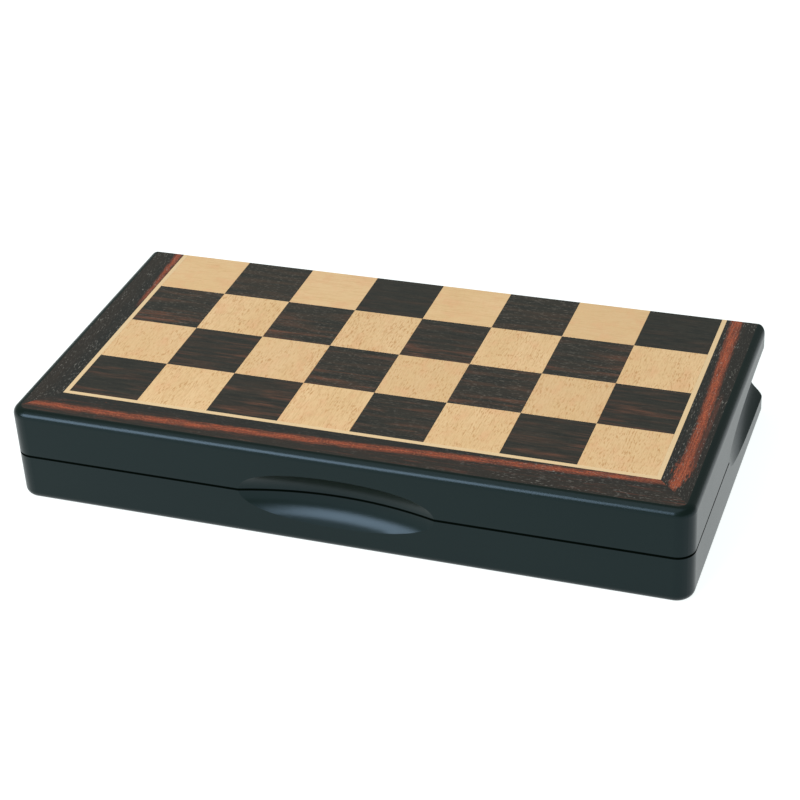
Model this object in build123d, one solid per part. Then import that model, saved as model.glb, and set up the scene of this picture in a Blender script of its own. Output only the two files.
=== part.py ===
from build123d import *
from math import sqrt
import os

# Folding chess case with its pieces, closed and lying flat. Two equal halves, each a shallow
# tray of four rails and a panel, meet rim to rim and turn on two butt hinges at the back.
# Millimetres; +X along the length, -Y the front, +Y the hinge edge, +Z up, Z = 0 the rest face.
# Every part of a half is drawn for the lower one; the upper one is its mirror image.

# Playing surface, veneered on the outside of both halves.
square = 30.0
columns = 8
rows = 4
front_row_depth = 29.0
fold_row_depth = 28.8
string_width = 1.9
veneer_thickness = 0.6

# Case.
length = 276.0
depth = 138.0
half_height = 20.5
parting_gap = 0.4
rail_thickness = 13.0
front_corner_radius = 7.2
back_corner_radius = 3.6
edge_radius = 3.3
lacquer_lip = 3.5
panel_thickness = 3.2
panel_seat = 6.0

# Finger scoops, one cove cutter for all of them.
cove_radius = 13.5
front_scoop_half_length = 40.0
front_scoop_half_height = 11.0
side_scoop_half_length = 72.0
side_scoop_half_height = 12.0

# Hinges and closing magnets.
hinge_spacing = 164.0
leaf_length = 24.0
leaf_width = 9.0
leaf_thickness = 0.9
fold_gap = 0.2
knuckle_radius = 2.2
pin_radius = 0.98
pin_clearance = 0.04
hinge_clearance = 0.3
knuckle_side_gap = 0.3
screw_spacing = 15.0
screw_edge = 3.4
screw_radius = 1.0
screw_head_radius = 1.8
screw_length = 7.0
screw_slot_width = 0.45
screw_slot_depth = 0.4
fit_gap = 0.05
magnet_spacing = 200.0
magnet_radius = 3.0
magnet_thickness = 2.4

# Fitted tray and how the pieces lie in it.
tray_clearance = 0.2
tray_thickness = 12.0
tray_floor = 0.6
slot_clearance = 0.3
well_floor = 2.0
well_front = -27.0
well_back = 34.0
well_end_wall = 4.0
well_corner_radius = 4.0
bay_end_gap = 3.0

# Chess pieces: radius of the base and height with its felt.
felt_thickness = 0.5
felt_inset = 0.8
king_base, king_height = 7.6, 41.0
queen_base, queen_height = 7.6, 37.5
bishop_base, bishop_height = 7.0, 32.5
knight_base, knight_height = 7.0, 30.0
rook_base, rook_height = 7.0, 27.5
pawn_base, pawn_height = 6.2, 24.0

front_face = -depth / 2
back_face = depth / 2
side_face = length / 2
parting_height = half_height + parting_gap / 2
panel_top = veneer_thickness + panel_thickness
cavity_length = length - 2 * rail_thickness
cavity_depth = depth - 2 * rail_thickness
field_side = columns * square / 2
field_front = back_face - fold_row_depth - (rows - 2) * square - front_row_depth
string_side = field_side + string_width
string_front = field_front - string_width
hinge_axis_y = back_face + fold_gap / 2
slot_axis_height = panel_top + tray_floor + slot_clearance + king_base
parting_plane = Plane.XY.offset(parting_height)


def block(low, high):
    """Box between two corners."""
    size = [b - a for a, b in zip(low, high)]
    middle = [(a + b) / 2 for a, b in zip(low, high)]
    return Pos(*middle) * Box(*size)


def bar(centre, radius, span):
    """Round bar along X."""
    return Pos(*centre) * Rot(0, 90, 0) * Cylinder(radius, span)


def rounded_plan(side, front, radius):
    """Plan outline up to well behind the back face, with its two front corners rounded."""
    corners = [(-side, front), (side, front), (side, depth), (-side, depth)]
    plan = make_face(Polyline(*corners, close=True))
    return fillet(plan.vertices().sort_by(Axis.Y)[:2], radius)


def half_outline():
    """Solid outer shape of one half: outer edge rounded over, back edge left square."""
    shape = extrude(rounded_plan(side_face, front_face, front_corner_radius), half_height)
    shape = fillet(shape.faces().sort_by(Axis.Z)[0].edges(), edge_radius)
    shape &= block((-length, -depth, 0), (length, back_face, half_height))
    for side in (-1, 1):
        centre_x = side * (side_face - back_corner_radius)
        centre_y = back_face - back_corner_radius
        corner_x = side * (side_face + back_corner_radius)
        low = (min(centre_x, corner_x), centre_y, 0)
        high = (max(centre_x, corner_x), back_face + back_corner_radius, half_height)
        rounding = Pos(centre_x, centre_y, half_height / 2) * Cylinder(back_corner_radius, half_height)
        shape -= block(low, high) - rounding
    return shape


def cove(half_length, half_height_of_cut):
    """Ring whose outside cuts a scoop centred on the parting plane, and the scoop's depth."""
    scoop_depth = cove_radius - sqrt(cove_radius**2 - half_height_of_cut**2)
    plan_radius = (half_length**2 + scoop_depth**2) / (2 * scoop_depth)
    return Torus(plan_radius - cove_radius, cove_radius), plan_radius - scoop_depth


def scoops():
    """Cutters of the front scoop and of the two side scoops, which meet the fold half way."""
    front_ring, front_offset = cove(front_scoop_half_length, front_scoop_half_height)
    side_ring, side_offset = cove(side_scoop_half_length, side_scoop_half_height)
    cutters = [Pos(0, front_face - front_offset, parting_height) * front_ring]
    for side in (-1, 1):
        cutters.append(Pos(side * (side_face + side_offset), back_face, parting_height) * side_ring)
    return cutters


def screw_places():
    """Centres of one half's hinge screws."""
    for hinge_x in (-hinge_spacing / 2, hinge_spacing / 2):
        for offset in (-screw_spacing / 2, screw_spacing / 2):
            yield Pos(hinge_x + offset, hinge_axis_y - leaf_width + screw_edge, half_height)


def screw_body(gap=0.0):
    """Countersunk screw hanging from its head's top, grown by gap for its hole."""
    head_height = leaf_thickness
    head = Pos(0, 0, -head_height / 2) * Cone(screw_radius + gap, screw_head_radius + gap, head_height)
    shank_length = screw_length - head_height
    shank = Pos(0, 0, -head_height - shank_length / 2) * Cylinder(screw_radius + gap, shank_length)
    return head + shank


def hinge_recesses():
    """What the back rail loses to the hinges: the leaf's bed, room for the knuckle, the screw holes."""
    cuts = []
    for hinge_x in (-hinge_spacing / 2, hinge_spacing / 2):
        low = (hinge_x - leaf_length / 2, hinge_axis_y - leaf_width, half_height - leaf_thickness)
        cuts.append(block(low, (hinge_x + leaf_length / 2, back_face + 1, half_height)))
        centre = (hinge_x, hinge_axis_y, parting_height)
        cuts.append(bar(centre, knuckle_radius + hinge_clearance, leaf_length + 2 * hinge_clearance))
    for place in screw_places():
        cuts.append(place * screw_body(fit_gap))
    return cuts


def magnets(gap=0.0):
    """Disc magnets set flush in the front rim."""
    height = magnet_thickness + gap
    disc = Cylinder(magnet_radius + gap, height)
    middle_y = front_face + rail_thickness / 2
    ends = (-magnet_spacing / 2, magnet_spacing / 2)
    return [Pos(x, middle_y, half_height - height / 2) * disc for x in ends]


def rails():
    """The four mitred rails of a half, rebated for the panel and the veneer."""
    ring = half_outline()
    inner_x, inner_y = cavity_length / 2, cavity_depth / 2
    ring -= block((-inner_x, -inner_y, 0), (inner_x, inner_y, half_height))
    seat_x, seat_y = inner_x + panel_seat, inner_y + panel_seat
    ring -= block((-seat_x, -seat_y, 0), (seat_x, seat_y, panel_top))
    ring -= extrude(veneer_plan(), veneer_thickness)
    for cut in scoops() + hinge_recesses() + magnets(fit_gap):
        ring -= cut
    turns = [(-1, -1), (1, -1), (1, 1), (-1, 1)]
    outer = [(a * side_face, b * back_face) for a, b in turns]
    inner = [(a * inner_x, b * inner_y) for a, b in turns]
    found = {}
    for index, name in enumerate(("front_rail", "right_rail", "back_rail", "left_rail")):
        after = (index + 1) % len(outer)
        wedge = Polyline(outer[index], outer[after], inner[after], inner[index], close=True)
        found[name] = ring & extrude(make_face(wedge), half_height)
    return found


def panel():
    """Plywood panel that carries the squares and sits in the rails' rebates."""
    half_x, half_y = cavity_length / 2 + panel_seat, cavity_depth / 2 + panel_seat
    return block((-half_x, -half_y, veneer_thickness), (half_x, half_y, panel_top))


def veneer_plan():
    """Outline of all the veneer on a half, inside the lacquered edge."""
    corner_radius = front_corner_radius - lacquer_lip
    plan = rounded_plan(side_face - lacquer_lip, front_face + lacquer_lip, corner_radius)
    return plan & Rectangle(length, 2 * back_face)


def squares(parity):
    """Every second square of a half's field; the front and fold rows are trimmed."""
    edges = [field_front, field_front + front_row_depth]
    edges += [edges[-1] + square * step for step in range(1, rows - 1)]
    edges.append(back_face)
    found = []
    for row in range(rows):
        for column in range(columns):
            if (row + column) % 2 == parity:
                left = -field_side + column * square
                low = (left, edges[row], 0)
                found.append(block(low, (left + square, edges[row + 1], veneer_thickness)))
    return found


def mitred_strips(outer_plan, inner_side, inner_front):
    """Left, front and right strips between an inner rectangle and an outer outline."""
    far = length
    front = [(-inner_side, inner_front), (inner_side, inner_front)]
    front += [(inner_side + far, inner_front - far), (-inner_side - far, inner_front - far)]
    left = [(-inner_side, inner_front), (-inner_side - far, inner_front - far)]
    left += [(-inner_side - far, back_face), (-inner_side, back_face)]
    right = [(-x, y) for x, y in left]
    strips = []
    for corners in (left, front, right):
        wedge = make_face(Polyline(*corners, close=True))
        strips.append(extrude(outer_plan & wedge, veneer_thickness))
    return strips


def stringing():
    """Pale inlaid line round three sides of the field."""
    middle_y = (string_front + back_face) / 2
    plan = Pos(0, middle_y) * Rectangle(2 * string_side, back_face - string_front)
    return mitred_strips(plan, field_side, field_front)


def border_veneer():
    """Mitred dark veneer between the stringing and the lacquered edge."""
    return mitred_strips(veneer_plan(), string_side, string_front)


def knuckle_spans(hinge_x):
    """X spans of the three knuckles of a hinge, with a gap between neighbours."""
    third = leaf_length / 3
    starts = [hinge_x - leaf_length / 2 + third * index for index in range(3)]
    trim = knuckle_side_gap / 2
    trims = [(0, trim), (trim, trim), (trim, 0)]
    return [(start + low, start + third - high) for start, (low, high) in zip(starts, trims)]


def hinge_leaf(hinge_x, own):
    """Brass leaf let into the rim, with the knuckles whose numbers are in own."""
    low = (hinge_x - leaf_length / 2, hinge_axis_y - leaf_width, half_height - leaf_thickness)
    leaf = block(low, (hinge_x + leaf_length / 2, hinge_axis_y, half_height))
    for number, (start, end) in enumerate(knuckle_spans(hinge_x)):
        middle, span = (start + end) / 2, end - start
        centre = (middle, hinge_axis_y, parting_height)
        if number in own:
            leaf += bar(centre, knuckle_radius, span)
        else:
            leaf -= bar(centre, knuckle_radius + hinge_clearance / 2, span + knuckle_side_gap)
    leaf -= bar((hinge_x, hinge_axis_y, parting_height), pin_radius + pin_clearance, length)
    for place in screw_places():
        leaf -= place * screw_body(fit_gap)
    return leaf


def hinge_pin(hinge_x):
    """Steel pin through the three knuckles."""
    pin = bar((hinge_x, hinge_axis_y, parting_height), pin_radius, leaf_length)
    return chamfer(pin.edges().filter_by(GeomType.CIRCLE), pin_radius / 4)


def hinge_screws():
    """Countersunk slotted screws of one half's hinges."""
    slot = Box(2 * screw_head_radius, screw_slot_width, 2 * screw_slot_depth)
    return [place * (screw_body() - slot) for place in screw_places()]


def on_profile(point):
    """Point of an outline in the plane that holds the lathe axis."""
    radius, height = point
    return (radius, 0, height)


def turned(start, steps):
    """Lathe-turned solid: an outline of (radius, height) points, an arc given as (middle, end)."""
    outline = []
    last = start
    for step in steps + [start]:
        if isinstance(step[0], tuple):
            middle, end = step
            outline.append(ThreePointArc(on_profile(last), on_profile(middle), on_profile(end)))
        else:
            end = step
            outline.append(Line(on_profile(last), on_profile(end)))
        last = end
    return revolve(make_face(outline), Axis.Z)


def foot(base):
    """Outline steps of a base: plinth, rounded roll, fillet and cove up to the stem."""
    def at(radius, height):
        return (radius * base, felt_thickness + height * base)
    plinth = [at(1.0, 0), at(1.0, 0.16)]
    roll = [(at(0.97, 0.31), at(0.84, 0.38)), at(0.76, 0.38)]
    rise = [(at(0.49, 0.56), at(0.36, 0.95))]
    return plinth + roll + rise


def bead(radius, low, high, after):
    """Outline steps of a rounded collar between two heights, ending at the next radius."""
    rim = radius - (high - low) / 2
    return [(rim, low), ((radius, (low + high) / 2), (rim, high)), (after, high)]


def ball(neck, radius, top):
    """Outline steps of a ball on the axis, from where it leaves a neck."""
    middle = top - radius
    return [(neck, middle - sqrt(radius**2 - neck**2)), ((radius, middle), (0, top))]


def king():
    """King with a flared crown and a plain cross."""
    steps = foot(king_base)
    steps += [((2.1, 16.0), (2.3, 24.0))]
    steps += bead(4.5, 24.0, 25.4, 3.0)
    steps += bead(3.7, 25.4, 26.4, 2.7)
    steps += [((3.2, 30.6), (4.7, 34.2)), ((4.5, 35.0), (3.7, 35.3))]
    steps += [((2.6, 36.3), (1.1, 36.6)), (1.1, 37.0), (0, 37.0)]
    body = turned((0, felt_thickness), steps)
    bar_size, arm, thick = 1.5, 4.2, 1.6
    upright = block((-bar_size / 2, -thick / 2, 36.0), (bar_size / 2, thick / 2, king_height))
    cross_height = 39.2
    low = (-arm / 2, -thick / 2, cross_height - bar_size / 2)
    return body + upright + block(low, (arm / 2, thick / 2, cross_height + bar_size / 2))


def queen():
    """Queen with a notched coronet and a ball."""
    steps = foot(queen_base)
    steps += [((2.0, 15.0), (2.2, 22.2))]
    steps += bead(4.3, 22.2, 23.6, 2.8)
    steps += bead(3.5, 23.6, 24.5, 2.5)
    steps += [((2.9, 28.4), (4.9, 32.3)), (4.1, 32.9), ((3.4, 32.2), (2.9, 32.3))]
    steps += [((2.3, 34.0), (0.8, 34.6))] + ball(0.8, 1.45, queen_height)
    body = turned((0, felt_thickness), steps)
    notches, notch_radius, rim_radius = 9, 0.8, 4.9
    cutter = Rot(0, 90, 0) * Cylinder(notch_radius, 2.4)
    for index in range(notches):
        body -= Rot(0, 0, 360 / notches * index) * Pos(rim_radius, 0, 33.1) * cutter
    return body


def bishop():
    """Bishop with a pointed mitre and its slanting cut."""
    steps = foot(bishop_base)
    steps += [((1.75, 12.4), (1.9, 17.4))]
    steps += bead(3.9, 17.4, 18.6, 2.5)
    steps += bead(3.1, 18.6, 19.4, 2.0)
    steps += [((3.75, 23.2), (2.6, 27.4)), (0.75, 30.0)] + ball(0.75, 1.25, bishop_height)
    body = turned((0, felt_thickness), steps)
    cut_width, cut_depth, cut_slant = 0.7, 6.0, -32.0
    return body - Pos(3.2, 0, 25.6) * Rot(0, cut_slant, 0) * Box(cut_depth, 2 * cut_depth, cut_width)


def knight():
    """Knight: a turned base with a carved horse's head facing +X."""
    base_top = 8.2
    steps = foot(knight_base)[:-1]
    steps += [((4.6, 4.9), (4.3, 7.2)), (4.9, 7.2), ((5.2, 7.7), (4.9, base_top)), (0, base_top)]
    base = turned((0, felt_thickness), steps)
    outline = [
        Line((-4.7, 0, base_top), (4.6, 0, base_top)),
        ThreePointArc((4.6, 0, base_top), (4.5, 0, 13.5), (1.2, 0, 18.2)),
        ThreePointArc((1.2, 0, 18.2), (2.9, 0, 19.2), (4.7, 0, 17.4)),
        ThreePointArc((4.7, 0, 17.4), (6.2, 0, 16.9), (6.9, 0, 18.6)),
        ThreePointArc((6.9, 0, 18.6), (5.3, 0, 23.0), (2.7, 0, 26.6)),
        Line((2.7, 0, 26.6), (1.2, 0, knight_height)),
        Line((1.2, 0, knight_height), (-0.6, 0, 27.6)),
        ThreePointArc((-0.6, 0, 27.6), (-5.6, 0, 18.5), (-4.7, 0, base_top)),
    ]
    head_half_thickness = 2.9
    return base + extrude(make_face(outline), head_half_thickness, both=True)


def rook():
    """Rook with a hollow, notched tower top."""
    steps = foot(rook_base)
    steps += [((2.6, 11.0), (3.2, 17.6))]
    steps += bead(4.6, 17.6, 18.8, 3.9)
    steps += [((4.1, 20.4), (5.0, 21.6)), (5.0, rook_height), (3.4, rook_height)]
    steps += [(3.4, rook_height - 2.2), (0, 24.8)]
    body = turned((0, felt_thickness), steps)
    notches, notch_width, notch_depth = 3, 1.5, 1.6
    cutter = Box(2 * rook_base, notch_width, 2 * notch_depth)
    for index in range(notches):
        body -= Pos(0, 0, rook_height) * Rot(0, 0, 180 / notches * index) * cutter
    return body


def pawn():
    """Pawn: a ball on a collar."""
    steps = foot(pawn_base)
    steps += [((1.85, 9.6), (2.0, 13.4))]
    steps += bead(3.9, 13.4, 14.6, 2.2)
    steps += ball(2.2, 4.1, pawn_height)
    return turned((0, felt_thickness), steps)


def bays():
    """Name, shape, base radius, widest radius above it, foot position and heading of each piece."""
    king_file = ("king", king(), king_base, 5.0)
    queen_file = ("queen", queen(), queen_base, 5.0)
    bishop_file = ("bishop", bishop(), bishop_base, 4.1)
    knight_file = ("knight", knight(), knight_base, 7.5)
    rook_file = ("rook", rook(), rook_base, 5.2)
    pawn_file = ("pawns", pawn(), pawn_base, 4.3)
    flank = [rook_file, knight_file, bishop_file]
    back_rank = flank + [queen_file, king_file] + flank[::-1]
    pitch = (cavity_length - 2 * tray_clearance) / columns
    found = []
    for column in range(columns):
        x = (column - (columns - 1) / 2) * pitch
        front = -cavity_depth / 2 + tray_clearance + bay_end_gap
        name, *rest = back_rank[column]
        if name not in ("king", "queen"):
            name += "_1" if column < columns / 2 else "_2"
        found.append((name, *rest, x, front, 1))
        found.append((*pawn_file, x, -front, -1))
    return found


def lay(shape, x, y, heading):
    """Piece on its side in its slot, its foot at x, y and its top towards heading along Y."""
    return Pos(x, y, slot_axis_height) * Rot(-90 * heading, 0, 0) * shape


def tray(lying):
    """Flocked foam insert with a fitted slot for each piece and a well for the fingers."""
    half_x, half_y = cavity_length / 2 - tray_clearance, cavity_depth / 2 - tray_clearance
    shape = block((-half_x, -half_y, panel_top), (half_x, half_y, panel_top + tray_thickness))
    top = panel_top + tray_thickness
    well_low = (-half_x + well_end_wall, well_front, panel_top + well_floor)
    well = block(well_low, (half_x - well_end_wall, well_back, top + well_corner_radius))
    well = fillet(well.edges().filter_by(Axis.X).sort_by(Axis.Z)[:2], well_corner_radius)
    shape -= well
    reach = (well_back - well_front) / 2
    for _, _, base, widest, x, y, heading in lying:
        for radius, start, end in ((base, -slot_clearance, base), (widest, 0, reach)):
            width, span = radius + slot_clearance, end - start
            shape -= lay(Pos(0, 0, (start + end) / 2) * Cylinder(width, span), x, y, heading)
            near, far = sorted((y + heading * start, y + heading * end))
            shape -= block((x - width, near, slot_axis_height), (x + width, far, top))
    return shape


def felt(base):
    """Felt disc under a piece."""
    return Pos(0, 0, felt_thickness / 2) * Cylinder(base - felt_inset, felt_thickness)


def half(name, colour, light_parity):
    """All the parts of one half by node name, drawn as the lower one."""
    lying = bays()
    own_knuckles = (0, 2) if name == "lower" else (1,)
    parts = {f"{name}_{rail}": [shape] for rail, shape in rails().items()}
    parts[f"{name}_panel"] = [panel()]
    parts[f"{name}_light_squares"] = squares(light_parity)
    parts[f"{name}_dark_squares"] = squares(1 - light_parity)
    parts[f"{name}_stringing"] = stringing()
    parts[f"{name}_border_veneer"] = border_veneer()
    parts[f"{name}_left_hinge_leaf"] = [hinge_leaf(-hinge_spacing / 2, own_knuckles)]
    parts[f"{name}_right_hinge_leaf"] = [hinge_leaf(hinge_spacing / 2, own_knuckles)]
    parts[f"{name}_hinge_screws"] = hinge_screws()
    parts[f"{name}_magnets"] = magnets()
    parts[f"{name}_tray"] = [tray(lying)]
    for piece, shape, base, _, x, y, heading in lying:
        parts.setdefault(f"{colour}_{piece}", []).append(lay(shape, x, y, heading))
        parts.setdefault(f"{colour}_base_felts", []).append(lay(felt(base), x, y, heading))
    return parts


nodes = half("lower", "light", 0)
for node, shapes in half("upper", "dark", 1).items():
    nodes[node] = [shape.mirror(parting_plane) for shape in shapes]
nodes["left_hinge_pin"] = [hinge_pin(-hinge_spacing / 2)]
nodes["right_hinge_pin"] = [hinge_pin(hinge_spacing / 2)]

os.makedirs("parts", exist_ok=True)
for node, shapes in nodes.items():
    solids = [solid for shape in shapes for solid in shape.solids()]
    export_step(solids[0] if len(solids) == 1 else Compound(solids), f"parts/{node}.step")
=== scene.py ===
import bmesh
import bpy
import math
from mathutils import Matrix, Vector


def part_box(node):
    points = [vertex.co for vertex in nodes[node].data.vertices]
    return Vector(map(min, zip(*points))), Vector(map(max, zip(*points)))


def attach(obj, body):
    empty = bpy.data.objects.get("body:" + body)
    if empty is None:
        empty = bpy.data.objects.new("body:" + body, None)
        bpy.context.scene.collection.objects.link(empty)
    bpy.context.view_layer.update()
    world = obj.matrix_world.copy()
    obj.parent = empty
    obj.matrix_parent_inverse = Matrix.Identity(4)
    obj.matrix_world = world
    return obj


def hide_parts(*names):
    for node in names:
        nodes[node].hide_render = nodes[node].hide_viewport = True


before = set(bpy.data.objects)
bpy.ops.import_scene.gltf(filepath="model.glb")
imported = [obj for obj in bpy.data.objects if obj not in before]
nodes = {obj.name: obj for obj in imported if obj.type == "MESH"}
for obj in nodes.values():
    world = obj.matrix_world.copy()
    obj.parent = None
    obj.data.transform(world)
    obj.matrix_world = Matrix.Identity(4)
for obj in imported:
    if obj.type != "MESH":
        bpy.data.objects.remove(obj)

bpy.context.view_layer.update()

# Studio. The case lies on a seamless white table under one wide overhead softbox, with a
# second, cooler one in front that draws the light along its rounded front edge.
scene = bpy.context.scene
scene.view_settings.view_transform = "Standard"

table_half = 6.0
table = bpy.data.meshes.new("table_top")
corners = [(x * table_half, y * table_half, 0) for x, y in ((-1, -1), (1, -1), (1, 1), (-1, 1))]
table.from_pydata(corners, [], [(0, 1, 2, 3)])
table_paint = bpy.data.materials.new("table_white")
table_paint.use_nodes = True
table_values = {"Base Color": (0.22, 0.22, 0.22, 1), "Roughness": 0.9,
                "Emission Color": (0.955, 1.0, 1.0, 1), "Emission Strength": 0.93}
for socket, value in table_values.items():
    table_paint.node_tree.nodes["Principled BSDF"].inputs[socket].default_value = value
table.materials.append(table_paint)
table_object = bpy.data.objects.new("table_top", table)
scene.collection.objects.link(table_object)

sky = bpy.data.worlds.new("studio_room")
sky.use_nodes = True
sky.node_tree.nodes["Background"].inputs["Color"].default_value = (0.86, 1.0, 0.96, 1)
sky.node_tree.nodes["Background"].inputs["Strength"].default_value = 0.45
scene.world = sky


def softbox(name, place, aim, size, power, colour):
    """A rectangular softbox that points from its place at its aim."""
    lamp = bpy.data.lights.new(name, "AREA")
    lamp.shape = "RECTANGLE"
    lamp.size, lamp.size_y = size
    lamp.energy = power
    lamp.color = colour
    lamp_object = bpy.data.objects.new(name, lamp)
    lamp_object.location = place
    lamp_object.rotation_euler = (Vector(aim) - Vector(place)).to_track_quat("-Z", "Y").to_euler()
    scene.collection.objects.link(lamp_object)


softbox("key_softbox", (-0.1, -0.3, 1.5), (0, 0, 0), (1.4, 1.4), 9, (1.0, 0.98, 0.96))
softbox("front_softbox", (-0.75, -1.5, 0.95), (0, 0, 0), (1.2, 0.95), 42, (0.94, 0.95, 1.0))

camera = bpy.data.cameras.new("camera")
camera.sensor_width = 36
camera.lens = 94.17
camera.shift_x = 0.05
camera_object = bpy.data.objects.new("camera", camera)
camera_place = Matrix.Translation((0.2589, -0.6722, 0.4763))
azimuth, elevation, lean = (math.radians(angle) for angle in (22.125, 31.96, -4.142))
turn = Matrix.Rotation(azimuth, 4, "Z")
tilt = Matrix.Rotation(math.pi / 2 - elevation, 4, "X")
roll = Matrix.Rotation(lean, 4, "Z")
camera_object.matrix_world = camera_place @ turn @ tilt @ roll
scene.collection.objects.link(camera_object)
scene.camera = camera_object

# Rails. Each half is a frame of four mitred hardwood rails, glued, rounded over outside and
# sprayed with black satin lacquer. One cove cutter made the finger scoops in both halves. On the
# upright faces next to the parting line the lacquer is painted matt near-black, as painted shade
# in the gap between the halves.
MM = 0.001
parting = 20.7


class Wire:
    """An output of a node tree. Arithmetic on wires and numbers adds Math nodes to the tree."""

    def __init__(self, net, socket):
        self.net = net
        self.socket = socket

    def maths(self, operation, *values):
        """Math node on values, which may be wires or numbers."""
        return self.net.node("ShaderNodeMath", {"operation": operation}, dict(enumerate(values)))

    def __add__(self, other):
        return self.maths("ADD", self, other)

    def __radd__(self, other):
        return self.maths("ADD", other, self)

    def __sub__(self, other):
        return self.maths("SUBTRACT", self, other)

    def __rsub__(self, other):
        return self.maths("SUBTRACT", other, self)

    def __mul__(self, other):
        return self.maths("MULTIPLY", self, other)

    def __rmul__(self, other):
        return self.maths("MULTIPLY", other, self)

    def __truediv__(self, other):
        return self.maths("DIVIDE", self, other)

    def __rtruediv__(self, other):
        return self.maths("DIVIDE", other, self)

    def __gt__(self, other):
        return self.maths("GREATER_THAN", self, other)

    def __lt__(self, other):
        return self.maths("LESS_THAN", self, other)

    def __abs__(self):
        return self.maths("ABSOLUTE", self)

    def rise(self, low, high):
        """0 below low, 1 above high and a smooth step between them."""
        limits = {"Value": self, "From Min": low, "From Max": high}
        return self.net.node("ShaderNodeMapRange", {"interpolation_type": "SMOOTHSTEP"}, limits)


class Net:
    """A node tree with the one method that adds nodes to it."""

    def __init__(self, tree):
        self.tree = tree

    def feed(self, node, name, value):
        """Links a wire to a socket, given by name, identifier or number, or sets a plain value."""
        found = node.inputs[name] if isinstance(name, int) else None
        found = found or next(s for s in node.inputs if name in (s.identifier, s.name))
        if isinstance(value, Wire):
            self.tree.links.new(value.socket, found)
        else:
            found.default_value = value

    def node(self, kind, settings=None, sockets=None, output=0):
        """Adds a node, gives it its settings, then its sockets, and returns one output."""
        made = self.tree.nodes.new(kind)
        for name, value in (settings or {}).items():
            if name == "stops":
                while len(made.color_ramp.elements) < len(value):
                    made.color_ramp.elements.new(1.0)
                for element, (place, colour) in zip(made.color_ramp.elements, value):
                    element.position, element.color = place, (*colour, 1)
            else:
                setattr(made, name, value)
        for name, value in (sockets or {}).items():
            self.feed(made, name, value)
        found = made.outputs[output] if isinstance(output, int) else None
        return Wire(self, found or next(s for s in made.outputs if output in (s.identifier, s.name)))


class Finish(Net):
    """A finish on a Principled surface, with the point on the object in millimetres."""

    def __init__(self, name, **constants):
        self.material = bpy.data.materials.new(name)
        self.material.use_nodes = True
        super().__init__(self.material.node_tree)
        self.surface = self.tree.nodes["Principled BSDF"]
        for socket, value in constants.items():
            self.surface.inputs[socket.replace("_", " ")].default_value = value
        place = self.node("ShaderNodeTexCoord", output="Object")
        parts = [self.node("ShaderNodeSeparateXYZ", sockets={"Vector": place}, output=axis) for axis in "XYZ"]
        self.x, self.y, self.z = (part / MM for part in parts)

    def grain(self, x, y, z=0, detail=2.0, roughness=0.5):
        """Noise of about unit size; dividing a coordinate by a length stretches it to that length."""
        place = self.node("ShaderNodeCombineXYZ", sockets={0: x, 1: y, 2: z})
        settings = {"Vector": place, "Scale": 1.0, "Detail": detail, "Roughness": roughness}
        return self.node("ShaderNodeTexNoise", sockets=settings)

    def mix(self, share, first, second):
        """Colour between two colours by a share."""
        ends = [end if isinstance(end, Wire) else (*end, 1) for end in (first, second)]
        sockets = {"Factor_Float": share, "A_Color": ends[0], "B_Color": ends[1]}
        return self.node("ShaderNodeMix", {"data_type": "RGBA"}, sockets, "Result_Color")

    def paint(self, colour=None, roughness=None, height=None, depth=0.0):
        """Drives the colour, the roughness and the relief, whose full depth is in millimetres."""
        if colour:
            self.feed(self.surface, "Base Color", colour)
        if roughness:
            self.feed(self.surface, "Roughness", roughness)
        if height:
            relief = {"Height": height, "Strength": 1.0, "Distance": depth * MM}
            self.feed(self.surface, "Normal", self.node("ShaderNodeBump", sockets=relief))
        return self.material


def coat(names, finish):
    """Gives CAD parts a finish."""
    for name in names:
        for place in nodes[name].material_slots:
            place.material = finish


lacquer = Finish("satin_lacquer", IOR=1.34, Specular_Tint=(0.54, 0.76, 0.96, 1))
cloud = lacquer.grain(lacquer.x / 60, lacquer.y / 60, lacquer.z / 60, 3.0)
peel = lacquer.grain(lacquer.x / 0.7, lacquer.y / 0.7, lacquer.z / 0.7, 2.0)
nib = lacquer.grain(lacquer.x / 0.28, lacquer.y / 0.28, lacquer.z / 0.28, 1.0)
black = lacquer.mix(cloud, (0.0015, 0.004, 0.002), (0.0025, 0.006, 0.003))
satin = 0.26 + 0.05 * cloud + 0.06 * nib.rise(0.55, 0.75)
facing = lacquer.node("ShaderNodeTexCoord", output="Normal")
upright = abs(lacquer.node("ShaderNodeSeparateXYZ", sockets={"Vector": facing}, output="Z")) < 0.5
# Painted shade: upright faces within about half a millimetre of the parting line are mixed to a matt
# near-black diffuse, which stands in for the shadow in the gap between the two halves.
parting_gap_shade = upright * (1 - abs(lacquer.z - parting).rise(0.42, 0.62))
satin_lacquer = lacquer.paint(black, satin, peel * 0.5 + nib * 0.5, 0.012)
painted_gap_shade = lacquer.node("ShaderNodeBsdfDiffuse", sockets={"Color": (0.001, 0.0015, 0.0015, 1)})
coated = Wire(lacquer, lacquer.surface.outputs[0])
lacquer_with_gap_shade = lacquer.node("ShaderNodeMixShader", sockets={0: parting_gap_shade, 1: coated, 2: painted_gap_shade})
lacquer.feed(lacquer.tree.nodes["Material Output"], "Surface", lacquer_with_gap_shade)
for half in ("lower", "upper"):
    coat([f"{half}_{side}_rail" for side in ("front", "left", "right", "back")], satin_lacquer)

# Panels. A sheet of birch plywood is glued into the rebate of each frame. It carries the
# veneer outside and the fitted insert inside, and shows only where the insert is lifted out.
plywood = Finish("birch_plywood", Roughness=0.7)
ply = plywood.z / 0.8
layer = plywood.node("ShaderNodeMath", {"operation": "PINGPONG"}, {0: ply, 1: 1.0})
fibre = plywood.grain(plywood.x / 12, plywood.y / 0.5, plywood.z / 0.5, 3.0)
ply_tone = plywood.mix(layer * 0.5 + fibre * 0.5, (0.42, 0.27, 0.14), (0.66, 0.49, 0.29))
coat(["lower_panel", "upper_panel"], plywood.paint(ply_tone, height=fibre, depth=0.03))


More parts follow.
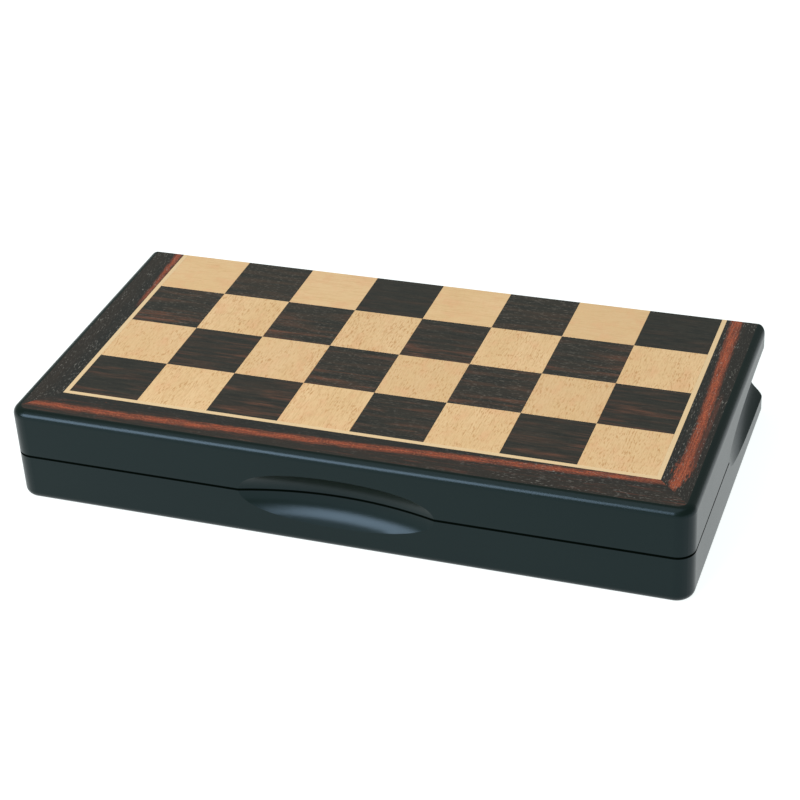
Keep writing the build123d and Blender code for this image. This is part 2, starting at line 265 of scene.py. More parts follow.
# Squares. Sliced veneers, cut square and laid edge to edge on the panel: pale maple and
# near-black rosewood. Each one is its own leaf, so figure and tone change from square to square.
# The maple's grain runs from front to back, except in the row at the fold.
class Jig(Net):
    """A Geometry Nodes tree with named sizes, which turns into plain meshes."""

    def __init__(self, name, **sizes):
        super().__init__(bpy.data.node_groups.new(name, "GeometryNodeTree"))
        kinds = {int: "NodeSocketInt", float: "NodeSocketFloat"}
        face = self.tree.interface
        self.sizes = sizes
        self.keys = {}
        for label, value in sizes.items():
            made = face.new_socket(label, in_out="INPUT", socket_type=kinds[type(value)])
            self.keys[label] = made.identifier
        face.new_socket("Geometry", in_out="OUTPUT", socket_type="NodeSocketGeometry")
        self.entry = self.tree.nodes.new("NodeGroupInput")

    def __getitem__(self, label):
        return Wire(self, self.entry.outputs[label])

    def close(self, shape, material):
        """Ends the tree: instances become real and take the finish."""
        real = self.node("GeometryNodeRealizeInstances", sockets={"Geometry": shape})
        dressed = self.node("GeometryNodeSetMaterial", sockets={"Geometry": real, "Material": material})
        self.tree.links.new(dressed.socket, self.tree.nodes.new("NodeGroupOutput").inputs[0])

    def make(self, name, **changed):
        """Runs the tree with some of its sizes changed and returns the plain object."""
        maker = bpy.data.objects.new("maker", bpy.data.meshes.new("blank"))
        scene.collection.objects.link(maker)
        modifier = maker.modifiers.new("jig", "NODES")
        modifier.node_group = self.tree
        for label, value in {**self.sizes, **changed}.items():
            modifier[self.keys[label]] = value
        view = bpy.context.evaluated_depsgraph_get()
        mesh = bpy.data.meshes.new_from_object(maker.evaluated_get(view))
        mesh.name = name
        bpy.data.objects.remove(maker)
        return add(name, mesh)


def add(name, mesh, material=None):
    """Puts a mesh in the scene as a piece."""
    piece = bpy.data.objects.new(name, mesh)
    scene.collection.objects.link(piece)
    if material:
        mesh.materials.append(material)
    return piece


square, columns, rows = 30.0, 8, 4
field_front, middle_line, field_back = -48.8, 10.2, 69.0
field_side = columns * square / 2
veneer = 0.6
top_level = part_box("upper_border_veneer")[1].z / MM

maple = Finish("maple_veneer", IOR=1.4)
rosewood = Finish("rosewood_veneer", IOR=1.4)
for leaf in (maple, rosewood):
    shift = {"Vector": leaf.node("ShaderNodeAttribute", {"attribute_name": "shift"}, output="Vector")}
    moves = [leaf.node("ShaderNodeSeparateXYZ", sockets=shift, output=axis) for axis in "XYZ"]
    leaf.tone = leaf.node("ShaderNodeAttribute", {"attribute_name": "tone"}, output="Fac")
    leaf.across = leaf.node("ShaderNodeAttribute", {"attribute_name": "across"}, output="Fac")
    leaf.last = leaf.y > middle_line + square
    leaf.u = leaf.x + moves[0]
    leaf.v = leaf.y + moves[1]
    leaf.w = moves[2]

along = maple.v * (1 - maple.last) + maple.u * maple.last
side = maple.u * (1 - maple.last) + maple.v * maple.last
sweep = maple.grain(along / 45, side / 14, maple.w, 2.0)
lines = maple.grain(along / 9, side / 0.6, maple.w, 3.0)
ray = maple.grain(along / 2.4, side / 0.6, maple.w, 1.5)
pore = maple.grain(along / 3.2, side / 0.17, maple.w + 7, 1.0)
blush = maple.grain(along / 11, side / 7, maple.w + 3, 2.0)
patch = maple.grain(along / 8, side / 8, maple.w + 11, 2.0).rise(0.35, 0.65)
flecks = ray.rise(0.52, 0.67) * (1 - 0.8 * maple.last) * (0.2 + 0.8 * patch)
pale = maple.mix(maple.tone, (0.645, 0.428, 0.226), (0.715, 0.482, 0.258))
pale = maple.mix(0.7 * sweep.rise(0.3, 0.7), pale, (0.64, 0.42, 0.205))
ripple = maple.grain(along / 0.7, side / 4, maple.w + 15, 1.0).rise(0.4, 0.7)
pale = maple.mix(0.34 * blush.rise(0.48, 0.72) + 0.16 * ripple, pale, (0.66, 0.33, 0.17))
pale = maple.mix(0.55 * lines.rise(0.45, 0.7), pale, (0.56, 0.35, 0.165))
pale = maple.mix(0.85 * flecks, pale, (0.46, 0.23, 0.085))
pale = maple.mix(0.45 * pore.rise(0.62, 0.72) * (1 - maple.last), pale, (0.36, 0.20, 0.09))
maple_leaf = maple.paint(pale, 0.42 + 0.12 * lines, lines - flecks, 0.015)

band = rosewood.grain(rosewood.u / 34, rosewood.v / 2.6, rosewood.w, 3.0, 0.6)
thread = rosewood.grain(rosewood.u / 9, rosewood.v / 0.6, rosewood.w, 3.0, 0.6)
glow = rosewood.grain(rosewood.u / 22, rosewood.v / 9, rosewood.w + 5, 1.0)
pore = rosewood.grain(rosewood.u / 2.0, rosewood.v / 0.34, rosewood.w + 9, 1.0).rise(0.62, 0.69)
pore = pore * (0.2 + rosewood.tone.rise(0.4, 0.7))
red = band.rise(0.46, 0.72) * (0.35 + 0.65 * thread.rise(0.35, 0.65))
red = red * (1 - 0.75 * rosewood.across) * (0.4 + 0.9 * glow.rise(0.35, 0.65)) * (1 - 0.8 * rosewood.last)
dark = rosewood.mix(thread.rise(0.3, 0.7), (0.007, 0.0068, 0.0052), (0.024, 0.0195, 0.014))
dark = rosewood.mix(0.5 * rosewood.tone * band.rise(0.35, 0.65), dark, (0.050, 0.029, 0.017))
dark = rosewood.mix(red, dark, (0.125, 0.043, 0.022))
dark = rosewood.mix(0.44 * pore, dark, (0.16, 0.135, 0.11))
rosewood_leaf = rosewood.paint(dark, 0.40 + 0.15 * thread, thread - pore, 0.015)

leaf_sizes = {"Side": square * MM, "Front": field_front * MM, "Middle": middle_line * MM,
              "Back": field_back * MM, "Level": 0.0, "Turn": 0.0, "Thickness": veneer * MM,
              "Ease": 0.05 * MM, "Columns": columns, "Rows": rows, "Parity": 0, "Seed": 1}


def cut_leaves(jig):
    """Tiles on every second place of the field, the first and last rows trimmed to its edges."""
    place = jig.node("GeometryNodeInputIndex")
    column = jig.node("ShaderNodeMath", {"operation": "MODULO"}, {0: place, 1: jig["Columns"]})
    row = jig.node("ShaderNodeMath", {"operation": "FLOOR"}, {0: place / jig["Columns"]})
    low_y = jig["Middle"] + jig["Side"] * (row - jig["Rows"] * 0.5)
    near = jig.node("ShaderNodeMath", {"operation": "MAXIMUM"}, {0: low_y, 1: jig["Front"]})
    far = jig.node("ShaderNodeMath", {"operation": "MINIMUM"}, {0: low_y + jig["Side"], 1: jig["Back"]})
    centre_x = jig["Side"] * (column - jig["Columns"] * 0.5 + 0.5)
    centre = jig.node("ShaderNodeCombineXYZ", sockets={0: centre_x, 1: (near + far) * 0.5, 2: jig["Level"]})
    count = jig["Columns"] * jig["Rows"]
    points = jig.node("GeometryNodePoints", sockets={"Count": count, "Position": centre})
    random = {"Min": (-400.0, -400.0, -400.0), "Max": (400.0, 400.0, 400.0), "Seed": jig["Seed"]}
    shift = jig.node("FunctionNodeRandomValue", {"data_type": "FLOAT_VECTOR"}, random, "Value")
    tone = jig.node("FunctionNodeRandomValue", {"data_type": "FLOAT"}, {"Seed": jig["Seed"] + 7}, "Value_001")
    named = (("shift", "FLOAT_VECTOR", shift), ("tone", "FLOAT", tone),
             ("row_scale", "FLOAT", (far - near) / jig["Side"]))
    for label, kind, value in named:
        sockets = {"Geometry": points, "Name": label, "Value": value}
        points = jig.node("GeometryNodeStoreNamedAttribute", {"data_type": kind, "domain": "POINT"}, sockets)
    odd = jig.node("ShaderNodeMath", {"operation": "MODULO"}, {0: column + row + jig["Parity"], 1: 2.0})
    sockets = {"Geometry": points, "Selection": odd}
    points = jig.node("GeometryNodeDeleteGeometry", {"domain": "POINT"}, sockets)
    sizes = {0: jig["Side"], 1: jig["Side"], 2: jig["Thickness"] - jig["Ease"]}
    size = jig.node("ShaderNodeCombineXYZ", sockets=sizes)
    tile = jig.node("GeometryNodeMeshCube", sockets={"Size": size})
    drop = jig.node("ShaderNodeCombineXYZ", sockets={2: jig["Ease"] * -0.5})
    tile = jig.node("GeometryNodeTransform", sockets={"Geometry": tile, "Translation": drop})
    facing = {"Vector": jig.node("GeometryNodeInputNormal")}
    up = jig.node("ShaderNodeSeparateXYZ", sockets=facing, output="Z")
    rim = {"Mesh": tile, "Selection": up > 0.5, "Offset Scale": jig["Ease"]}
    raised = jig.node("GeometryNodeExtrudeMesh", {"mode": "FACES"}, rim)
    top = Wire(jig, raised.socket.node.outputs["Top"])
    shrink = {"Geometry": raised, "Selection": top, "Scale": 1 - 2 * jig["Ease"] / jig["Side"]}
    tile = jig.node("GeometryNodeScaleElements", {"domain": "FACE"}, shrink)
    spot = {"Vector": jig.node("GeometryNodeInputPosition")}
    spot_y = jig.node("ShaderNodeSeparateXYZ", sockets=spot, output="Y")
    sockets = {"Geometry": tile, "Name": "across", "Value": spot_y / jig["Side"] + 0.5}
    tile = jig.node("GeometryNodeStoreNamedAttribute", {"data_type": "FLOAT", "domain": "POINT"}, sockets)
    scale = jig.node("GeometryNodeInputNamedAttribute", {"data_type": "FLOAT"}, {"Name": "row_scale"})
    sockets = {"Points": points, "Instance": tile}
    sockets["Scale"] = jig.node("ShaderNodeCombineXYZ", sockets={0: 1.0, 1: scale, 2: 1.0})
    sockets["Rotation"] = jig.node("ShaderNodeCombineXYZ", sockets={0: jig["Turn"]})
    return jig.node("GeometryNodeInstanceOnPoints", sockets=sockets)


for colour, leaf, parity in (("light", maple_leaf, 0), ("dark", rosewood_leaf, 1)):
    jig = Jig(f"{colour}_leaves", **leaf_sizes)
    jig.close(cut_leaves(jig), leaf)
    for half, turn, level, flip in (("lower", math.pi, veneer / 2, 0),
                                    ("upper", 0.0, top_level - veneer / 2, 1)):
        changes = {"Turn": turn, "Level": level * MM, "Parity": (parity + flip) % 2}
        leaves = jig.make(f"{half}_{colour}_leaves", Seed=5 + 2 * flip + parity, **changes)
        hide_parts(f"{half}_{colour}_squares")
        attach(leaves, f"{half}_half")

# Stringing. A pale line 1.9 mm wide, sawn from maple and inlaid round three sides of the
# field with mitred corners. Its grain runs along each strip.
string = Finish("maple_string", IOR=1.4)
front_zone = (field_side + field_front - abs(string.x)) > string.y
run = string.x * front_zone + string.y * (1 - front_zone)
wide = string.y * front_zone + string.x * (1 - front_zone)
fibre = string.grain(run / 14, wide / 0.25, 0, 3.0)
tick = string.grain(run / 1.4, wide / 0.2, 4, 1.0).rise(0.6, 0.72)
string_tone = string.mix(fibre, (0.72, 0.52, 0.30), (0.62, 0.43, 0.235))
string_tone = string.mix(0.35 * tick, string_tone, (0.36, 0.21, 0.10))
string_wood = string.paint(string_tone, 0.42 + 0.12 * fibre, fibre, 0.01)
coat(["lower_stringing", "upper_stringing"], string_wood)

# Border. Three mitred strips of dark rosewood between the stringing and the lacquered edge.
# A streak of red sapwood wanders through them, and open pores catch the light along the grain.
border = Finish("rosewood_border", IOR=1.4)
string_width = 1.9
strip_front, strip_side = 276.0, 138.0
side_out = abs(border.x) - (field_side + string_width)
front_out = field_front - string_width - border.y
out = border.node("ShaderNodeMath", {"operation": "MAXIMUM"}, {0: side_out, 1: front_out})
in_front = front_out > side_out
side_x = border.x * (2 * (border.z > parting) - 1)
on_right = (side_x > 0) * (1 - in_front)
on_left = (side_x < 0) * (1 - in_front)
run = side_x * in_front + border.y * (1 - in_front)
wander = border.grain(run / 16, 0, 2, 2.0) - 0.5
fray = border.grain(run / 4.5, out / 0.7, 5, 4.0, 0.7) - 0.5
knot_y, faint_y, splash_x = -44.0, -17.0, -108.0

# A course has the streak's centre, half width and strength at places along its strip. The
# first two are shares of the reach from the stringing outwards.
reach = 16.0
front_course = [(0.0, (0.61, 0.11, 0.9)), (0.17, (0.60, 0.12, 1.0)), (0.52, (0.43, 0.115, 1.0)),
                (0.70, (0.25, 0.105, 1.0)), (0.92, (0.09, 0.095, 1.0)), (1.0, (0.06, 0.09, 0.7))]
right_course = [(0.08, (0.34, 0.06, 0.0)), (0.11, (0.34, 0.10, 1.0)), (0.195, (0.42, 0.20, 0.95)),
                (0.26, (0.42, 0.12, 0.9)), (0.46, (0.40, 0.115, 1.0)), (1.0, (0.26, 0.135, 1.0))]
left_course = [(0.64, (0.05, 0.04, 0.0)), (0.72, (0.07, 0.05, 0.8)), (0.79, (0.075, 0.055, 0.9)),
               (1.0, (0.14, 0.10, 1.0))]
knot = on_right * (1 - abs(border.y - knot_y).rise(5, 13))
streak = 0
for course, share, strip in ((front_course, in_front, strip_front), (right_course, on_right, strip_side),
                             (left_course, on_left, strip_side)):
    ramp = border.node("ShaderNodeValToRGB", {"stops": course}, {"Fac": run / strip + 0.5}, "Color")
    parts = [border.node("ShaderNodeSeparateColor", sockets={"Color": ramp}, output=n) for n in (0, 1, 2)]
    centre, width, strength = parts[0] * reach, parts[1] * reach, parts[2]
    off = abs(out - centre - 1.2 * wander) + (3.6 + 9 * knot) * fray
    streak = streak + share * strength * (1 - (off - width).rise(-1.3, 0.9))
faint = (1 - abs(out - 9.6 - wander).rise(0.3, 1.3)) * (1 - abs(border.y - faint_y).rise(20, 32)) * on_right
splash = border.grain(run / 3, out / 1.1, 8, 2.0).rise(0.64, 0.72) * in_front
splash = splash * (1 - abs(side_x - splash_x).rise(6, 16))
streak_line = border.grain(run / 11, out / 0.5, 11, 3.0, 0.6)
ground = border.mix((out - 6).rise(-3, 3), (0.0075, 0.007, 0.006), (0.0150, 0.0100, 0.0070))
ground = border.mix(0.5 * streak_line.rise(0.4, 0.7), ground, (0.036, 0.024, 0.017))
rust_line = border.grain(run / 18, out / 0.9, 23, 2.0, 0.6).rise(0.54, 0.68) * (out - 3).rise(0, 3) * in_front
ground = border.mix(0.6 * rust_line, ground, (0.085, 0.026, 0.015))
ground = border.mix(0.5 * on_right * (out - 7).rise(0, 3), ground, (0.0075, 0.006, 0.005))
sap = border.mix(streak_line.rise(0.35, 0.65), (0.34, 0.062, 0.022), (0.135, 0.024, 0.011))
blotch = border.grain(run / 9, out / 1.5, 31, 3.0).rise(0.42, 0.60)
tone = border.mix(streak * (1 - 0.5 * in_front * blotch), ground, sap)
speck = border.grain(run / 0.9, out / 0.35, 20, 2.0, 0.6)
tone = border.mix(0.55 * streak * speck.rise(0.50, 0.62), tone, (0.085, 0.022, 0.012))
tone = border.mix(0.5 * streak * (1 - speck.rise(0.36, 0.46)), tone, (0.52, 0.19, 0.085))
tone = border.mix(0.45 * faint + 0.8 * splash, tone, (0.12, 0.032, 0.018))
pore = border.grain(run / 1.9, out / 0.36, 14, 1.0).rise(0.61, 0.68)
thick_pores = 0.25 + 0.75 * border.grain(run / 12, out / 3, 17, 1.0).rise(0.45, 0.6)
thick_pores = thick_pores * (1 - 0.8 * in_front * (1 - side_x.rise(20, 100)))
tone = border.mix(0.62 * pore * thick_pores, tone, (0.27, 0.25, 0.22))
border_wood = border.paint(tone, 0.40 + 0.14 * streak_line, streak_line - pore, 0.02)
coat(["lower_border_veneer", "upper_border_veneer"], border_wood)

# Hinges. Two brass butt hinges are let into the back rims, three knuckles each, and turn on
# steel pins. Every leaf is held by two slotted brass wood screws, driven flush.
brass = Finish("hinge_brass", Metallic=1.0)
scratch = brass.grain(brass.x / 3, brass.y / 0.12, brass.z / 0.12, 2.0)
tarnish = brass.grain(brass.x / 4, brass.y / 4, brass.z / 4, 3.0)
brass_tone = brass.mix(tarnish.rise(0.35, 0.7), (0.80, 0.57, 0.25), (0.62, 0.42, 0.18))
hinge_brass = brass.paint(brass_tone, 0.22 + 0.14 * tarnish + 0.08 * scratch, scratch, 0.006)
coat([f"{half}_{side}_hinge_leaf" for half in ("lower", "upper") for side in ("left", "right")], hinge_brass)

steel = Finish("pin_steel", Metallic=1.0)
draw_line = steel.grain(steel.x / 2, steel.y / 0.1, steel.z / 0.1, 2.0)
steel_tone = steel.mix(draw_line, (0.50, 0.51, 0.52), (0.66, 0.66, 0.65))
pin_steel = steel.paint(steel_tone, 0.25 + 0.15 * draw_line, draw_line, 0.004)
coat(["left_hinge_pin", "right_hinge_pin"], pin_steel)

hinge_x, screw_apart, screw_y = 82.0, 15.0, 63.5
rim_height = 20.5
screws = Jig("hinge_screws", Hinge=hinge_x * MM, Apart=screw_apart * MM, Row=screw_y * MM,
             Level=rim_height * MM, Turn=0.0, Head=1.8 * MM, Sink=0.9 * MM, Shank=1.0 * MM,
             Length=7.0 * MM, Slot=0.45 * MM, Cut=0.4 * MM, Ease=0.1 * MM, Seed=4)
place = screws.node("GeometryNodeInputIndex")
side = 2 * (place > 1.5) - 1
pair = screws.node("ShaderNodeMath", {"operation": "MODULO"}, {0: place, 1: 2.0})
screw_x = screws["Hinge"] * side + screws["Apart"] * (pair - 0.5)
spot = screws.node("ShaderNodeCombineXYZ", sockets={0: screw_x, 1: screws["Row"], 2: screws["Level"]})
points = screws.node("GeometryNodePoints", sockets={"Count": 4, "Position": spot})
parts = []
for top, bottom, high, low in ((screws["Head"] - screws["Ease"], screws["Head"], 0, screws["Ease"]),
                               (screws["Head"], screws["Shank"], screws["Ease"], screws["Sink"]),
                               (screws["Shank"], screws["Shank"] * 0.35, screws["Sink"], screws["Length"])):
    sizes = {"Vertices": 40, "Radius Top": top, "Radius Bottom": bottom, "Depth": low - high}
    cone = screws.node("GeometryNodeMeshCone", sockets=sizes)
    drop = screws.node("ShaderNodeCombineXYZ", sockets={2: low * -1})
    parts.append(screws.node("GeometryNodeTransform", sockets={"Geometry": cone, "Translation": drop}))
body = screws.node("GeometryNodeJoinGeometry")
for part in reversed(parts):
    screws.feed(body.socket.node, "Geometry", part)
weld = {"Geometry": body, "Distance": 0.001 * MM}
body = screws.node("GeometryNodeMergeByDistance", sockets=weld)
sizes = {0: screws["Head"] * 2.5, 1: screws["Slot"], 2: screws["Cut"] * 2}
size = screws.node("ShaderNodeCombineXYZ", sockets=sizes)
slot = screws.node("GeometryNodeMeshCube", sockets={"Size": size})
body = screws.node("GeometryNodeMeshBoolean", {"operation": "DIFFERENCE"}, {"Mesh 1": body, "Mesh 2": slot})
spin = screws.node("FunctionNodeRandomValue", {"data_type": "FLOAT"}, {"Seed": screws["Seed"]}, "Value_001")
turned = screws.node("ShaderNodeCombineXYZ", sockets={0: screws["Turn"], 2: spin * 3.0})
sockets = {"Points": points, "Instance": body, "Rotation": turned}
screws.close(screws.node("GeometryNodeInstanceOnPoints", sockets=sockets), hinge_brass)
for half, level, turn, seed in (("lower", rim_height, 0.0, 4),
                                ("upper", 2 * parting - rim_height, math.pi, 9)):
    piece = screws.make(f"{half}_slotted_screws", Level=level * MM, Turn=turn, Seed=seed)
    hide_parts(f"{half}_hinge_screws")
    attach(piece, f"{half}_half")

# Magnets. Nickel-plated discs, pressed and glued into the front rims, hold the case shut.
# Their faces are flush with the rim and show fine rings from facing.
nickel = Finish("magnet_nickel", Metallic=1.0)
magnet_x, magnet_y = 100.0, -62.5
off_x = abs(nickel.x) - magnet_x
off_y = nickel.y - magnet_y
radius = nickel.node("ShaderNodeMath", {"operation": "SQRT"}, {0: off_x * off_x + off_y * off_y})
ring = nickel.grain(radius / 0.08, 0, 0, 1.0)
wear = nickel.grain(nickel.x / 1.5, nickel.y / 1.5, 0, 3.0)
nickel_tone = nickel.mix(wear, (0.66, 0.64, 0.59), (0.52, 0.50, 0.46))
coat(["lower_magnets", "upper_magnets"], nickel.paint(nickel_tone, 0.18 + 0.2 * wear, ring, 0.004))

# Inserts. A block of dense foam, cut with one slot for each piece and a finger well across
# the middle, flocked dark green and dropped into each half.
flock = Finish("green_flocking", Roughness=0.95, IOR=1.3, Sheen_Weight=0.3, Sheen_Roughness=0.5,
               Sheen_Tint=(0.25, 0.55, 0.4, 1))
tuft = flock.grain(flock.x / 0.35, flock.y / 0.35, flock.z / 0.35, 2.0)
lie = flock.grain(flock.x / 9, flock.y / 9, flock.z / 9, 3.0)
flock_tone = flock.mix(tuft.rise(0.3, 0.7), (0.006, 0.030, 0.018), (0.018, 0.070, 0.042))
flock_tone = flock.mix(0.5 * lie.rise(0.4, 0.7), flock_tone, (0.010, 0.040, 0.025))
coat(["lower_tray", "upper_tray"], flock.paint(flock_tone, height=tuft, depth=0.12))

# Base felts. A disc of green wool felt, punched to size, is glued under the base of every
# piece, so that it slides quietly and doesn't mark the veneer.
felt = Finish("green_felt", Roughness=0.97, IOR=1.3, Sheen_Weight=0.3, Sheen_Tint=(0.3, 0.6, 0.4, 1))
wool = felt.grain(felt.x / 0.3, felt.y / 0.3, felt.z / 0.12, 3.0, 0.7)
felt_tone = felt.mix(wool.rise(0.3, 0.7), (0.010, 0.060, 0.026), (0.030, 0.125, 0.060))
coat(["light_base_felts", "dark_base_felts"], felt.paint(felt_tone, height=wool, depth=0.15))

# Pieces. Turned from boxwood for the light side and from rosewood for the dark one, sanded on
# the lathe and waxed. The grain runs up each piece and the tool leaves faint rings round it.
men = {}
wood_tones = {"light": ((0.66, 0.42, 0.175), (0.52, 0.29, 0.105), (0.36, 0.17, 0.06)),
              "dark": ((0.085, 0.030, 0.017), (0.036, 0.013, 0.009), (0.012, 0.007, 0.006))}
for colour, (pale, deep, vein) in wood_tones.items():
    wood = Finish(f"{colour}_piece_wood", IOR=1.45, Coat_Weight=0.25, Coat_Roughness=0.2)
    sweep = wood.grain(wood.x / 2.2, wood.y / 26, wood.z / 2.2, 2.0)
    fibre = wood.grain(wood.x / 0.3, wood.y / 7, wood.z / 0.3, 3.0)
    tick = wood.grain(wood.x / 0.16, wood.y / 1.6, wood.z / 0.16, 1.0).rise(0.62, 0.72)
    lathe_ring = wood.grain(0, wood.y / 0.22, 0, 1.0)
    tone = wood.mix(sweep.rise(0.3, 0.7), pale, deep)
    tone = wood.mix(0.45 * fibre.rise(0.4, 0.75), tone, deep)
    tone = wood.mix(0.5 * tick, tone, vein)
    men[colour] = wood.paint(tone, 0.30 + 0.15 * fibre, fibre * 0.5 + lathe_ring * 0.5, 0.02)
    names = ("rook_1", "bishop_1", "queen", "king", "bishop_2", "rook_2", "pawns")
    coat([f"{colour}_{name}" for name in names], men[colour])

# Knights. The only carved pieces: a turned base with a horse's head on top, cut by hand from
# the same wood. The neck is arched, the mane lies in locks, and eyes and nostrils are bored.
knight_base, felt_depth = 7.0, 0.5
knight_x, foot_y, slot_axis = 78.0, -52.8, 12.3
ring_steps = 28


def ring(mesh, middle, along, wide, thick):
    """Closed ring of vertices round a middle point, in the plane of a direction and the Y axis."""
    across = Vector((0, 1, 0))
    found = []
    for step in range(ring_steps):
        angle = 2 * math.pi * step / ring_steps
        out = along * wide * math.cos(angle) + across * thick * math.sin(angle)
        found.append(mesh.verts.new(middle + out))
    return found


def loft(mesh, rings):
    """Skin over rings, closed with a flat cap at each end."""
    for first, second in zip(rings, rings[1:]):
        for step in range(ring_steps):
            after = (step + 1) % ring_steps
            mesh.faces.new((first[step], first[after], second[after], second[step]))
    mesh.faces.new(rings[0][::-1])
    mesh.faces.new(rings[-1])


def limb(mesh, stations):
    """Tapering limb: each station is x, y, z, tilt in degrees, half width and half thickness."""
    rings = []
    for x, y, z, lean, wide, thick in stations:
        along = Vector((math.cos(math.radians(lean)), 0, math.sin(math.radians(lean))))
        rings.append(ring(mesh, Vector((x, y, z)), along, wide, thick))
    loft(mesh, rings)


def finish_form(form, name):
    """Turns a form into a mesh whose faces point outwards."""
    mesh = bpy.data.meshes.new(name)
    bmesh.ops.recalc_face_normals(form, faces=form.faces)
    form.to_mesh(mesh)
    form.free()
    return mesh


def carve_head():
    """Horse's head as one skin, in millimetres, upright and facing +X."""
    form = bmesh.new()
    limb(form, [(-0.1, 0, 7.6, 0, 4.3, 3.3), (-0.1, 0, 8.6, 0, 4.5, 3.3), (-0.5, 0, 11.5, 0, 4.3, 2.9),
                (-1.3, 0, 15.5, -4, 4.1, 2.6), (-1.6, 0, 19.0, -10, 4.0, 2.4), (-1.1, 0, 22.5, -22, 3.7, 2.3),
                (-0.2, 0, 25.4, -38, 3.0, 2.1), (0.5, 0, 27.2, -50, 1.9, 1.6), (0.8, 0, 28.0, -55, 0.8, 0.8)])
    limb(form, [(-0.6, 0, 25.0, 44, 1.6, 1.4), (0.3, 0, 24.2, 44, 2.9, 2.4), (1.6, 0, 22.9, 46, 3.0, 2.5),
                (3.0, 0, 21.3, 48, 2.3, 2.0), (4.4, 0, 19.7, 50, 1.8, 1.65), (5.4, 0, 18.6, 52, 1.75, 1.7),
                (6.1, 0, 17.9, 54, 1.35, 1.4), (6.4, 0, 17.5, 54, 0.7, 0.8)])
    limb(form, [(3.0, 0, 19.6, 48, 0.9, 1.3), (4.0, 0, 18.3, 50, 1.0, 1.3), (5.0, 0, 17.3, 52, 0.9, 1.2),
                (5.5, 0, 16.9, 52, 0.4, 0.6)])
    for side in (-1, 1):
        limb(form, [(0.1, 1.0 * side, 26.6, -30, 0.9, 0.7), (0.4, 1.25 * side, 27.8, -30, 0.85, 0.65),
                    (0.9, 1.35 * side, 29.0, -30, 0.55, 0.4), (1.2, 1.3 * side, 29.8, -30, 0.15, 0.15)])
        limb(form, [(1.6, 1.9 * side, 24.9, 46, 0.4, 0.3), (2.1, 2.1 * side, 24.3, 46, 0.75, 0.45),
                    (2.8, 2.0 * side, 23.5, 46, 0.4, 0.3)])
    return finish_form(form, "head_form")


def lock_of_hair():
    """Lock of the mane: a fluted, tapering roll, in millimetres, that hangs along -Z."""
    form = bmesh.new()
    limb(form, [(0.0, 0, 1.0, 0, 0.3, 0.3), (0.15, 0, 0.6, 0, 0.75, 0.8), (0.2, 0, -0.4, 0, 0.85, 0.9),
                (0.0, 0, -1.5, 0, 0.7, 0.7), (-0.35, 0, -2.6, 0, 0.4, 0.4), (-0.6, 0, -3.2, 0, 0.12, 0.12)])
    return finish_form(form, "lock_of_hair")


lock = add("lock_of_hair", lock_of_hair())
crest = [(1.3, 28.0), (-1.6, 27.2), (-3.9, 24.3), (-5.1, 20.5), (-5.2, 16.3), (-4.7, 12.4), (-4.3, 10.6)]
mane = Jig("mane", Locks=9, Spread=0.95, Sway=0.35, Seed=12)
line = bpy.data.curves.new("crest", "CURVE")
line.dimensions = "3D"
spline = line.splines.new("NURBS")
spline.points.add(len(crest) - 1)
for point, (x, z) in zip(spline.points, crest):
    point.co = (x, 0, z, 1)
spline.order_u = 3
spline.use_endpoint_u = True
crest_object = bpy.data.objects.new("crest", line)
scene.collection.objects.link(crest_object)
path = mane.node("GeometryNodeObjectInfo", sockets={"Object": crest_object}, output="Geometry")
shape = mane.node("GeometryNodeObjectInfo", sockets={"Object": lock}, output="Geometry")
rows_of_locks = mane.node("GeometryNodeJoinGeometry")
for side in (-1, 0, 1):
    sockets = {"Curve": path, "Count": mane["Locks"] + side * side}
    points = mane.node("GeometryNodeResampleCurve", {"mode": "COUNT"}, sockets)
    points = mane.node("GeometryNodeCurveToPoints", {"mode": "EVALUATED"}, {"Curve": points}, "Points")
    offset = mane.node("ShaderNodeCombineXYZ", sockets={0: 0.45 * side * side, 1: mane["Spread"] * side})
    points = mane.node("GeometryNodeSetPosition", sockets={"Geometry": points, "Offset": offset})
    seed = {"Seed": mane["Seed"] + side}
    sway = mane.node("FunctionNodeRandomValue", {"data_type": "FLOAT"}, seed, "Value_001")
    turn = mane.node("ShaderNodeCombineXYZ", sockets={0: 0.25 * side, 1: (sway - 0.5) * mane["Sway"] + 0.25})
    sockets = {"Points": points, "Instance": shape, "Rotation": turn}
    placed = mane.node("GeometryNodeInstanceOnPoints", sockets=sockets)
    mane.feed(rows_of_locks.socket.node, "Geometry", placed)
mane.close(rows_of_locks, men["light"])
mane_piece = mane.make("mane_locks")

head = bmesh.new()
head.from_mesh(carve_head())
head.from_mesh(mane_piece.data)
for helper in (lock, crest_object, mane_piece):
    bpy.data.objects.remove(helper)
mesh = bpy.data.meshes.new("head")
head.to_mesh(mesh)
head.free()
carving = add("carving", mesh)
skin = carving.modifiers.new("skin", "REMESH")
skin.mode = "VOXEL"
skin.voxel_size = 0.2
smooth = carving.modifiers.new("sanded", "SMOOTH")
smooth.factor = 0.5
smooth.iterations = 3
view = bpy.context.evaluated_depsgraph_get()
head_mesh = bpy.data.meshes.new_from_object(carving.evaluated_get(view))
bpy.data.objects.remove(carving)

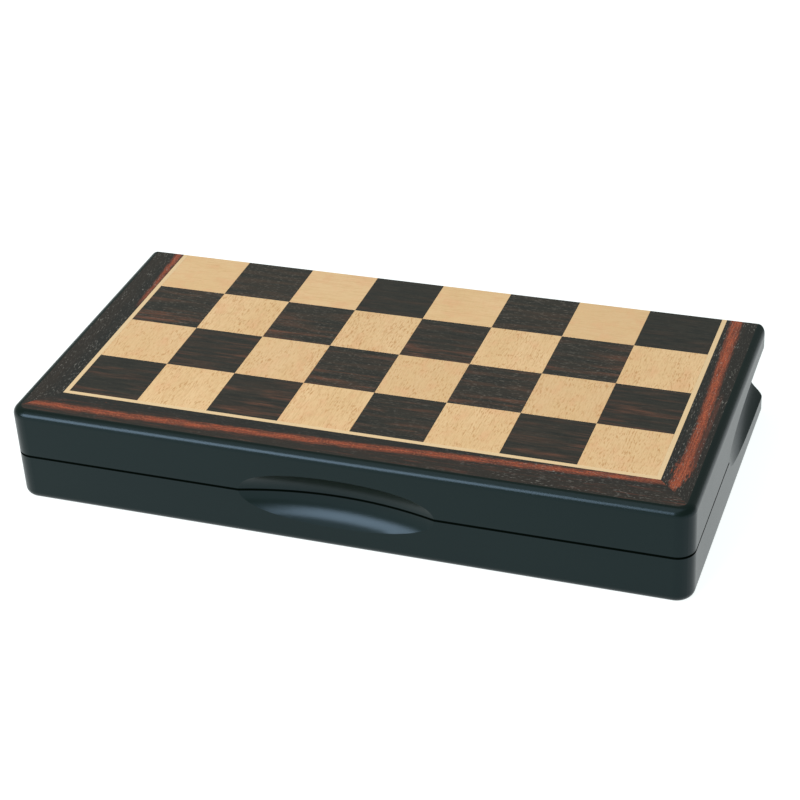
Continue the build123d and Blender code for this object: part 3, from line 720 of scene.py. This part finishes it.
# Eyes, nostrils and the hollows of the ears are bored: each has its place, radius and depth.
# The mouth is a groove along the line where the lips meet.
bores = {"eye": ((2.25, 2.5, 23.7), 0.62, 0.22), "nostril": ((5.85, 1.35, 18.75), 0.5, 0.45),
         "ear": ((1.35, 1.35, 28.6), 0.45, 0.25)}
mouth, mouth_across = Vector((6.3, 0, 17.2)), Vector((0.64, 0, -0.77))
mouth_back, mouth_depth = 4.2, 0.35
for vertex in head_mesh.vertices:
    point = vertex.co
    flank = Vector((point.x, abs(point.y), point.z))
    for spot, bore_radius, depth in bores.values():
        gap = (flank - Vector(spot)).length
        if gap < bore_radius:
            vertex.co -= vertex.normal * depth * (1 - (gap / bore_radius) ** 2)
    lips = abs((point - mouth).dot(mouth_across))
    if point.x > mouth_back and lips < mouth_depth:
        vertex.co -= vertex.normal * (mouth_depth - lips)

base_steps = [(0.0, 0.0), (1.0, 0.0), (1.0, 0.16), (1.0, 0.22), (0.985, 0.28), (0.95, 0.33), (0.90, 0.365),
              (0.84, 0.38), (0.76, 0.38)]
base_profile = [(radius * knight_base, felt_depth + height * knight_base) for radius, height in base_steps]
base_profile += [(5.0, 3.6), (4.72, 4.3), (4.5, 5.2), (4.36, 6.2), (4.3, 7.2), (4.9, 7.2), (5.1, 7.35),
                 (5.2, 7.6), (5.15, 7.9), (4.95, 8.15), (4.6, 8.2), (0.0, 8.2)]


def lathe(profile, steps=72):
    """Solid turned from a profile of radius and height."""
    form = bmesh.new()
    circle = [2 * math.pi * step / steps for step in range(steps)]
    rings = []
    for radius, height in profile:
        angles = circle if radius else [0.0]
        points = [(radius * math.cos(angle), radius * math.sin(angle), height) for angle in angles]
        rings.append([form.verts.new(point) for point in points])
    for first, second in zip(rings, rings[1:]):
        for step in range(steps):
            after = (step + 1) % steps
            corners = [first[step % len(first)], first[after % len(first)], second[after % len(second)],
                       second[step % len(second)]]
            form.faces.new(list(dict.fromkeys(corners)))
    bmesh.ops.recalc_face_normals(form, faces=form.faces)
    return form


for colour, half, height in (("light", "lower", slot_axis), ("dark", "upper", 2 * parting - slot_axis)):
    for number, x in ((1, -knight_x), (2, knight_x)):
        form = lathe(base_profile)
        form.from_mesh(head_mesh)
        place = Matrix.Translation((x, foot_y, height)) @ Matrix.Rotation(-math.pi / 2, 4, "X")
        form.transform(Matrix.Scale(MM, 4) @ place)
        for face in form.faces:
            face.smooth = True
        mesh = bpy.data.meshes.new(f"{colour}_carved_knight_{number}")
        form.to_mesh(mesh)
        form.free()
        mesh.set_sharp_from_angle(angle=math.radians(42))
        piece = add(mesh.name, mesh, men[colour])
        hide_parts(f"{colour}_knight_{number}")
        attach(piece, f"{half}_half")
